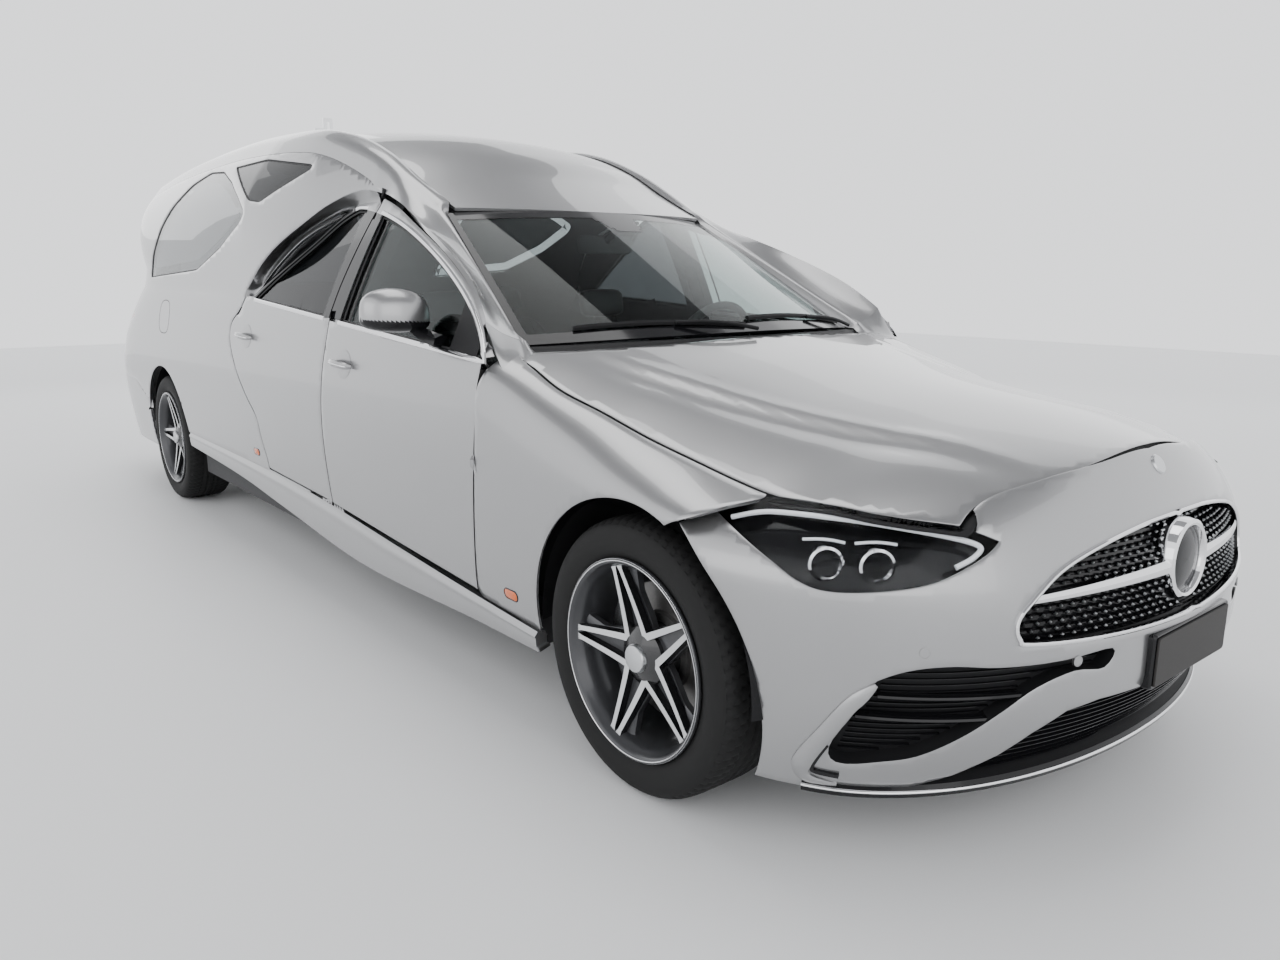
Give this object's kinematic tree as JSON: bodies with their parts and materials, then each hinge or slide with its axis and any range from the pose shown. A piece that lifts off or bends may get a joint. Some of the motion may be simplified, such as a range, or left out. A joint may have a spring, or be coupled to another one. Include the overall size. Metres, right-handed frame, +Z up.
{
  "type": "hearse",
  "caption": "Coachbuilt hearse on a lengthened saloon base, with glazed load space, opening doors, bonnet and tailgate, steered front wheels and a roof cross.",
  "frame": {"origin": "on the ground, midway along the body and on its centre plane", "axes": "+X forward along the body, +Y to the car's left, +Z up"},
  "size_m": [6.0023, 2.0906, 1.986],
  "materials": {
    "amber": "gloss",
    "chrome": "polished",
    "clear_glass": "clear",
    "coach_glass": "light tint",
    "dark_trim": "matt",
    "deck": "brushed",
    "gloss_black": "gloss",
    "lamp": "gloss, clear cover",
    "leather": "grained",
    "paint": "metallic gloss",
    "privacy_glass": "dark tint",
    "rim": "painted and machined",
    "rubber": "matt",
    "steel": "bare",
    "tail_lamp": "gloss",
    "underbody": "matt"
  },
  "bodies": {
    "body": {"floor_pan": "underbody", "posts": "underbody", "side_skirts": "paint", "front_wings": "paint", "front_bumper": "paint", "front_grille": "gloss_black", "bumper_inserts": "dark_trim", "headlamps": "lamp", "windscreen": "clear_glass", "cowl": "dark_trim", "roof_rails": "paint", "roof_panel": "paint", "coach_sides": "paint", "coach_windows": "coach_glass", "rear_bumper": "paint", "tail_lamps": "tail_lamp", "roof_cross": "chrome", "side_markers": "amber", "dashboard": "dark_trim", "front_seats": "leather", "rear_seats": "leather", "load_deck": "deck", "engine": "steel", "subframes": "steel", "hinges": "underbody"},
    "bonnet": {"bonnet": "paint"},
    "tailgate": {"tailgate": "paint", "tailgate_glass": "privacy_glass"},
    "steering_wheel": {"steering_wheel": "dark_trim"},
    "front_door_right": {"front_door_right": "paint", "front_glass_right": "clear_glass", "mirror_right": "paint"},
    "rear_door_right": {"rear_door_right": "paint", "rear_glass_right": "privacy_glass"},
    "knuckle_right": {"knuckle_right": "steel"},
    "front_wheel_right": {"front_rim_right": "rim", "front_tyre_right": "rubber"},
    "rear_wheel_right": {"rear_rim_right": "rim", "rear_tyre_right": "rubber"},
    "front_door_left": {"front_door_left": "paint", "front_glass_left": "clear_glass", "mirror_left": "paint"},
    "rear_door_left": {"rear_door_left": "paint", "rear_glass_left": "privacy_glass"},
    "knuckle_left": {"knuckle_left": "steel"},
    "front_wheel_left": {"front_rim_left": "rim", "front_tyre_left": "rubber"},
    "rear_wheel_left": {"rear_rim_left": "rim", "rear_tyre_left": "rubber"}
  },
  "joints": [
    {"name": "front_door_right_hinge", "type": "hinge", "parent": "body", "child": "front_door_right", "pos_m": [1.463, -0.884, 0.6], "axis": [0, 0, 1], "range_deg": [0, 65]},
    {"name": "front_door_left_hinge", "type": "hinge", "parent": "body", "child": "front_door_left", "pos_m": [1.463, 0.884, 0.6], "axis": [0, 0, -1], "range_deg": [0, 65]},
    {"name": "rear_door_right_hinge", "type": "hinge", "parent": "body", "child": "rear_door_right", "pos_m": [0.405, -0.884, 0.6], "axis": [0, 0, 1], "range_deg": [0, 65]},
    {"name": "rear_door_left_hinge", "type": "hinge", "parent": "body", "child": "rear_door_left", "pos_m": [0.405, 0.884, 0.6], "axis": [0, 0, -1], "range_deg": [0, 65]},
    {"name": "bonnet_hinge", "type": "hinge", "parent": "body", "child": "bonnet", "pos_m": [1.53, 0, 0.94], "axis": [0, -1, 0], "range_deg": [0, 50]},
    {"name": "tailgate_hinge", "type": "hinge", "parent": "body", "child": "tailgate", "pos_m": [-2.4, 0, 1.652], "axis": [0, 1, 0], "range_deg": [0, 80]},
    {"name": "steer_right", "type": "hinge", "parent": "body", "child": "knuckle_right", "pos_m": [2.16, -0.72, 0.328], "axis": [0, 0, 1], "range_deg": [-34, 34]},
    {"name": "steer_left", "type": "hinge", "parent": "body", "child": "knuckle_left", "pos_m": [2.16, 0.72, 0.328], "axis": [0, 0, 1], "range_deg": [-34, 34]},
    {"name": "front_spin_right", "type": "hinge", "parent": "knuckle_right", "child": "front_wheel_right", "pos_m": [2.16, -0.785, 0.328], "axis": [0, 1, 0], "continuous": true},
    {"name": "rear_spin_right", "type": "hinge", "parent": "body", "child": "rear_wheel_right", "pos_m": [-1.7, -0.785, 0.328], "axis": [0, 1, 0], "continuous": true},
    {"name": "front_spin_left", "type": "hinge", "parent": "knuckle_left", "child": "front_wheel_left", "pos_m": [2.16, 0.785, 0.328], "axis": [0, 1, 0], "continuous": true},
    {"name": "rear_spin_left", "type": "hinge", "parent": "body", "child": "rear_wheel_left", "pos_m": [-1.7, 0.785, 0.328], "axis": [0, 1, 0], "continuous": true},
    {"name": "steering_wheel_turn", "type": "hinge", "parent": "body", "child": "steering_wheel", "pos_m": [1.075, 0.37, 0.905], "axis": [-0.9063, 0, 0.4226], "range_deg": [-480, 480]}
  ],
  "couplings": [
    {"joint": "steer_left", "follows": "steer_right", "ratio": 1},
    {"joint": "steering_wheel_turn", "follows": "steer_right", "ratio": 14}
  ]
}
